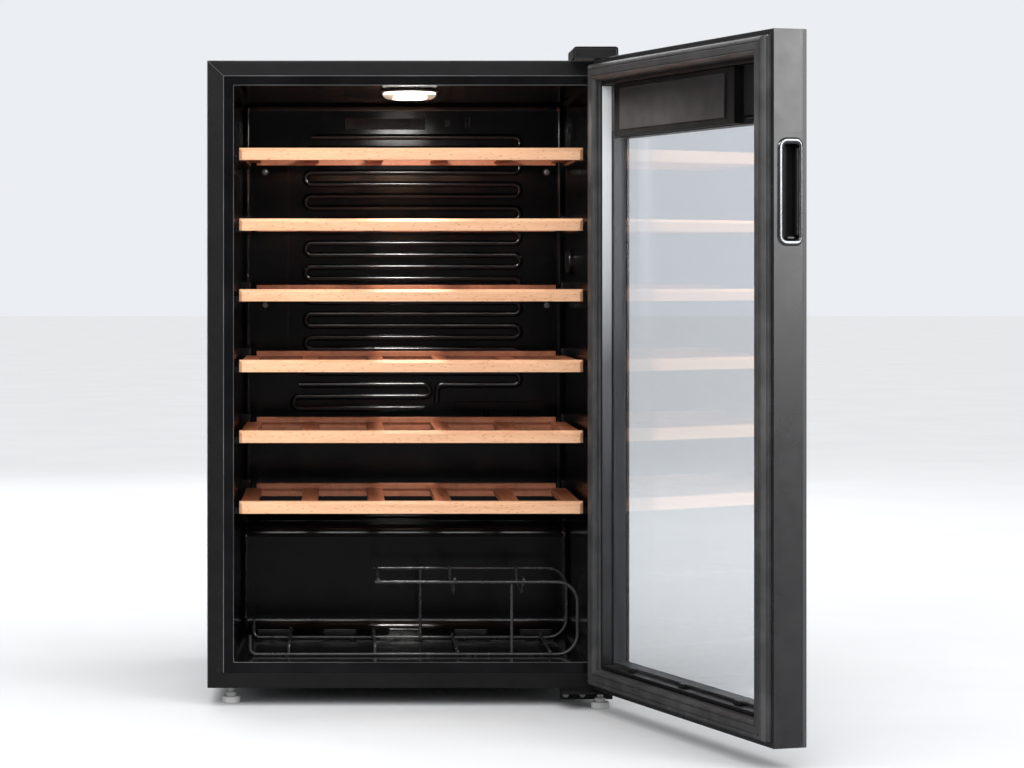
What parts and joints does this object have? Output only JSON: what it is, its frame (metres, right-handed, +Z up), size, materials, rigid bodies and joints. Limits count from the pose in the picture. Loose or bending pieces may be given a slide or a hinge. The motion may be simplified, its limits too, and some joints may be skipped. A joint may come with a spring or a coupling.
{
  "type": "wine cooler",
  "caption": "Free-standing compressor wine cooler with a glazed side-hinged door, sliding slatted wooden shelves, a wire floor rack and a ceiling lamp.",
  "frame": {"origin": "centre of the whole footprint on the floor, with the door at its stored open angle", "axes": "+X to the right seen from the front, +Y from the door side to the back, +Z up"},
  "size_m": [0.7122, 1.0597, 0.8695],
  "materials": {
    "cabinet_paint": "satin black powder coat",
    "liner_black": "semi-gloss moulded black",
    "black_plastic": "fine-textured black moulding",
    "foam": null,
    "copper_tube": "drawn copper, dull",
    "compressor_black": "thick black enamel",
    "zinc_steel": "zinc plated sheet",
    "beech_pale": "sanded beech, lightly oiled",
    "beech_red": "sawn steamed beech",
    "black_wire": "black coated wire",
    "gasket_rubber": "soft black extrusion",
    "magnet_strip": "ferrite loaded rubber",
    "clear_glass": "clear, low-iron",
    "tinted_glass": "lightly tinted, with a black printed border",
    "lamp_clear": "ribbed diffusing polycarbonate",
    "board_green": "lacquered circuit board",
    "frame_black": "satin black coated profile",
    "cover_grey": "satin dark grey moulding",
    "display_black": "polished smoked plastic",
    "chrome": "bright plated",
    "spacer_aluminium": "mill finish, perforated face",
    "foot_grey": "grey moulding",
    "rubber_black": "moulded black rubber"
  },
  "bodies": {
    "cabinet": {"back_panel": "zinc_steel", "back_wall_fittings": "black_plastic", "bottom_crossbar": "cabinet_paint", "bottom_panel": "zinc_steel", "compressor": "compressor_black", "compressor_mounts": "zinc_steel", "compressor_relay": "black_plastic", "condenser_coil": "copper_tube", "cord_gland": "black_plastic", "drain_trough": "liner_black", "drip_tray": "black_plastic", "evaporator_coil": "copper_tube", "evaporator_relief": "liner_black", "foam_insulation": "foam", "hinge_bracket_bottom": "cabinet_paint", "hinge_bracket_top": "zinc_steel", "hinge_cover": "black_plastic", "hinge_screws": "zinc_steel", "inner_liner": "liner_black", "lamp_board": "board_green", "lamp_lens": "lamp_clear", "outer_shell": "cabinet_paint", "rear_feet": "foot_grey", "refrigerant_tubes": "copper_tube", "shelf_supports": "liner_black"},
    "door": {"control_board": "board_green", "control_cover": "cover_grey", "control_housing": "black_plastic", "door_gasket": "gasket_rubber", "door_liner": "black_plastic", "door_rail_bottom": "frame_black", "door_rail_top": "frame_black", "door_stile_handle": "frame_black", "door_stile_hinge": "frame_black", "glass_inner_pane": "clear_glass", "glass_middle_pane": "clear_glass", "glass_outer_pane": "tinted_glass", "glass_spacer": "spacer_aluminium", "handle_bezel": "chrome", "handle_cup": "black_plastic", "gasket_magnets": "magnet_strip", "display_module": "display_black", "hinge_bushes": "black_plastic"},
    "wire_rack": {"rack_loops": "black_wire", "rack_cross_wires": "black_wire"},
    "filter_cap": {"filter_cap": "black_plastic"},
    "leveling_foot_left": {"leveling_foot_left": "foot_grey"},
    "leveling_foot_right": {"leveling_foot_right": "foot_grey"},
    "shelf_1": {"shelf_1_front_bar": "beech_pale", "shelf_1_slats": "beech_red"},
    "shelf_2": {"shelf_2_front_bar": "beech_pale", "shelf_2_slats": "beech_red"},
    "shelf_3": {"shelf_3_front_bar": "beech_pale", "shelf_3_slats": "beech_red"},
    "shelf_4": {"shelf_4_front_bar": "beech_pale", "shelf_4_slats": "beech_red"},
    "shelf_5": {"shelf_5_front_bar": "beech_pale", "shelf_5_slats": "beech_red"},
    "shelf_6": {"shelf_6_front_bar": "beech_pale", "shelf_6_slats": "beech_red"}
  },
  "joints": [
    {"name": "door_hinge", "type": "hinge", "parent": "cabinet", "child": "door", "pos_m": [0.17286, -0.02158, 0], "axis": [0, 0, 1], "range_deg": [-107.8, 22.2]},
    {"name": "shelf_1_slide", "type": "slide", "parent": "cabinet", "child": "shelf_1", "axis": [0, -1, 0], "range_m": [0, 0.2]},
    {"name": "shelf_2_slide", "type": "slide", "parent": "cabinet", "child": "shelf_2", "axis": [0, -1, 0], "range_m": [0, 0.2]},
    {"name": "shelf_3_slide", "type": "slide", "parent": "cabinet", "child": "shelf_3", "axis": [0, -1, 0], "range_m": [0, 0.2]},
    {"name": "shelf_4_slide", "type": "slide", "parent": "cabinet", "child": "shelf_4", "axis": [0, -1, 0], "range_m": [0, 0.2]},
    {"name": "shelf_5_slide", "type": "slide", "parent": "cabinet", "child": "shelf_5", "axis": [0, -1, 0], "range_m": [0, 0.2]},
    {"name": "shelf_6_slide", "type": "slide", "parent": "cabinet", "child": "shelf_6", "axis": [0, -1, 0], "range_m": [0, 0.2]},
    {"name": "wire_rack_slide", "type": "slide", "parent": "cabinet", "child": "wire_rack", "axis": [0, -1, 0], "range_m": [0, 0.25]},
    {"name": "filter_cap_turn", "type": "hinge", "parent": "cabinet", "child": "filter_cap", "pos_m": [0.14886, 0.30192, 0.589], "axis": [1, 0, 0], "range_deg": [0, 60]},
    {"name": "leveling_foot_left_turn", "type": "hinge", "parent": "cabinet", "child": "leveling_foot_left", "pos_m": [-0.32574, 0.04792, 0], "axis": [0, 0, 1], "continuous": true},
    {"name": "leveling_foot_right_turn", "type": "hinge", "parent": "cabinet", "child": "leveling_foot_right", "pos_m": [0.16186, -0.00908, 0], "axis": [0, 0, 1], "continuous": true}
  ]
}
